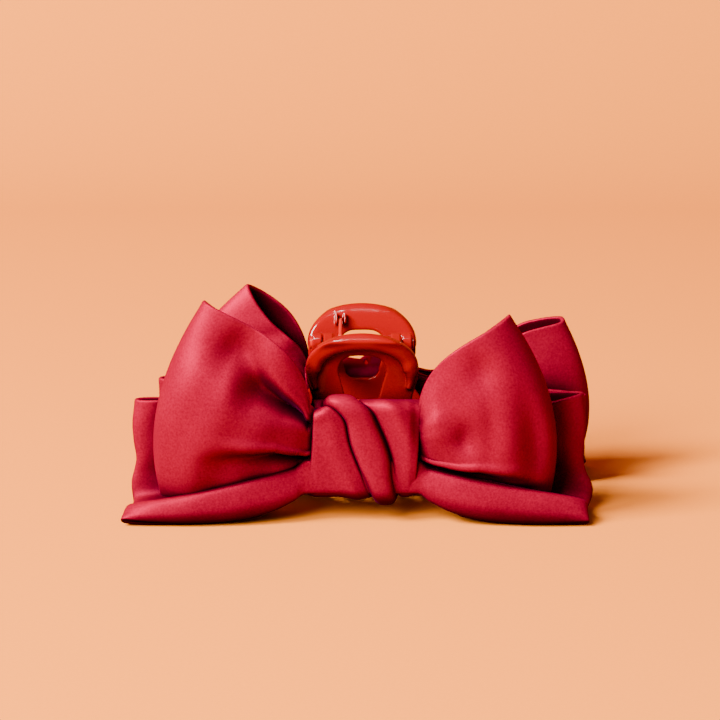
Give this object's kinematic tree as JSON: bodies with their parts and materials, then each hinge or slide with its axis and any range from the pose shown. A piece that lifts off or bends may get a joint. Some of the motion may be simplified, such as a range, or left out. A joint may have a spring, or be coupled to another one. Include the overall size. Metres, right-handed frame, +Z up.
{
  "type": "hair bow claw clip",
  "caption": "Satin double bow on both sides of a spring-loaded plastic claw clip; wide looped bows with a wrapped knot, toothed jaws and finger tabs that squeeze to open.",
  "frame": {"origin": "on the ground under the middle of the clip, which stands on its lower loops", "axes": "+X along the bow's length and the hinge, +Y from the front bow to the rear bow, +Z up"},
  "size_m": [0.1318, 0.0762, 0.0617],
  "materials": {
    "claw_plastic": "glossy moulded red",
    "painted_steel": "red painted spring steel",
    "satin": "crimson satin with a soft sheen",
    "interfacing": "thin matt lining",
    "thread": "matt twisted thread",
    "felt": "matt felt"
  },
  "bodies": {
    "front_half": {"front_jaw": "claw_plastic", "hinge_pin": "painted_steel", "spring_coil": "painted_steel", "front_felt_pad": "felt", "front_upper_loops": "satin", "front_lower_loops": "satin", "front_upper_interfacing": "interfacing", "front_lower_interfacing": "interfacing", "front_gather_thread": "thread", "front_knot_wrap": "satin"},
    "rear_half": {"rear_jaw": "claw_plastic", "spring_rear_leg": "painted_steel", "rear_felt_pad": "felt", "rear_upper_loops": "satin", "rear_lower_loops": "satin", "rear_upper_interfacing": "interfacing", "rear_lower_interfacing": "interfacing", "rear_gather_thread": "thread", "rear_knot_wrap": "satin"}
  },
  "joints": [
    {"name": "claw_hinge", "type": "hinge", "parent": "front_half", "child": "rear_half", "pos_m": [0, 0, 0.044], "axis": [1, 0, 0], "range_deg": [0, 55], "stiffness_Nm_per_rad": 0.15, "springref_deg": -45.84}
  ]
}
